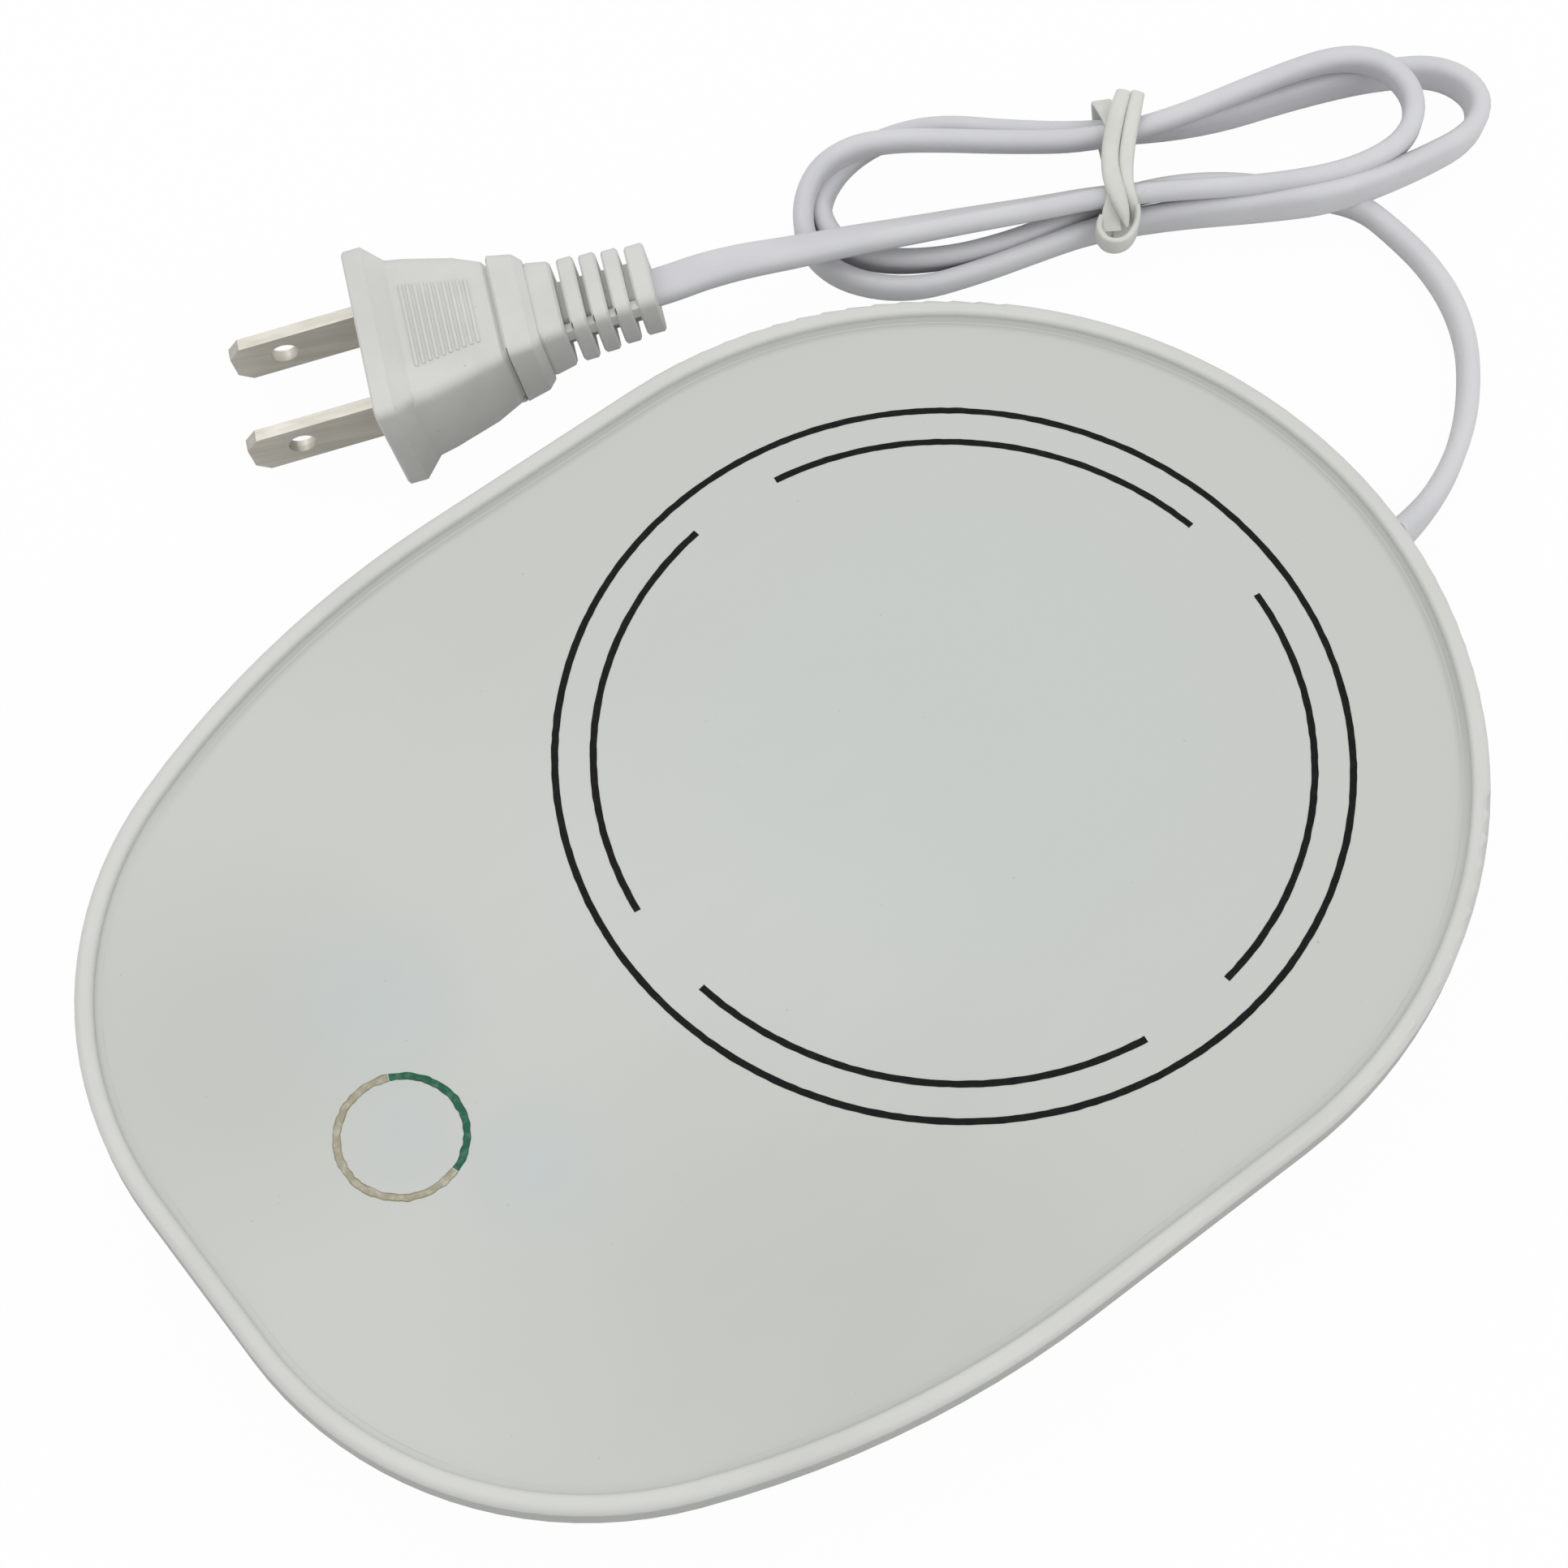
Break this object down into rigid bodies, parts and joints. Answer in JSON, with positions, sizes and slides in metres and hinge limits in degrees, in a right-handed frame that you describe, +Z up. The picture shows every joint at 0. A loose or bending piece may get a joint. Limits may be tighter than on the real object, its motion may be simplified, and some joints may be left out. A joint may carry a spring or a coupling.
{
  "type": "mug warmer",
  "caption": "Flat drop-shaped electric mug warmer with a glossy white plate, printed heating ring, touch key, and a mains lead tied in a hank.",
  "frame": {"origin": "on the table, under the middle of the housing outline (the lead and plug left out)", "axes": "+Z up, +X from the touch key at the narrow end towards the heater ring at the round end, where the lead leaves"},
  "size_m": [0.2125, 0.1549, 0.0219],
  "materials": {
    "white_housing": "satin moulded",
    "white_plate": "gloss, back-painted glass",
    "black_print": "thin fired print, flush with the plate",
    "key_print": "translucent print, green and beige",
    "adhesive_tape": "foam tape",
    "bare_aluminium": "rolled",
    "heater_foil": "polyimide film",
    "glass_felt": "glass-fibre felt",
    "zinc_steel": "zinc plated",
    "sensor_resin": "cast resin",
    "red_wire": "silicone insulation",
    "white_wire": "PVC insulation",
    "board_green": "solder mask on glass laminate",
    "black_part": "moulded",
    "yellow_part": "moulded case",
    "blue_part": "dipped ceramic",
    "terminal_white": "moulded nylon",
    "fuse_glass": "glass tube",
    "foam_grey": "conductive foam",
    "clear_guide": "frosted light guide",
    "lamp_white": "LED",
    "cover_white": "moulded",
    "grey_rubber": "silicone rubber",
    "cord_white": "satin PVC",
    "tie_white": "plastic strip over wire",
    "plug_white": "moulded PVC",
    "nickel": "nickel plated"
  },
  "bodies": {
    "root": {"upper_housing": "white_housing", "bottom_cover": "cover_white", "top_plate": "white_plate", "plate_tape": "adhesive_tape", "printed_ring": "black_print", "touch_key_ring": "key_print", "heat_spreader": "bare_aluminium", "heater_film": "heater_foil", "insulation_pad": "glass_felt", "heater_bracket": "zinc_steel", "bracket_screws": "zinc_steel", "temperature_sensor": "sensor_resin", "thermal_fuse": "bare_aluminium", "heater_wires": "red_wire", "sensor_wires": "white_wire", "supply_wires": "white_wire", "control_board": "board_green", "board_screws": "zinc_steel", "touch_foam_pad": "foam_grey", "key_light_guide": "clear_guide", "indicator_lamps": "lamp_white", "controller_chip": "black_part", "triac": "black_part", "film_capacitor": "yellow_part", "smoothing_capacitor": "black_part", "varistor": "blue_part", "board_fuse": "fuse_glass", "wire_terminals": "terminal_white", "sensor_connector": "terminal_white", "cord_bush": "cord_white", "cord_sheath_end": "cord_white", "cord_clamp": "zinc_steel", "clamp_screws": "zinc_steel", "case_screws": "zinc_steel", "rubber_feet": "grey_rubber", "cord_lead_housing": "cord_white", "cord_hank": "cord_white", "cord_lead_plug": "cord_white", "twist_tie": "tie_white", "plug_body": "plug_white", "plug_strain_relief": "plug_white", "plug_blades": "nickel"}
  },
  "joints": []
}
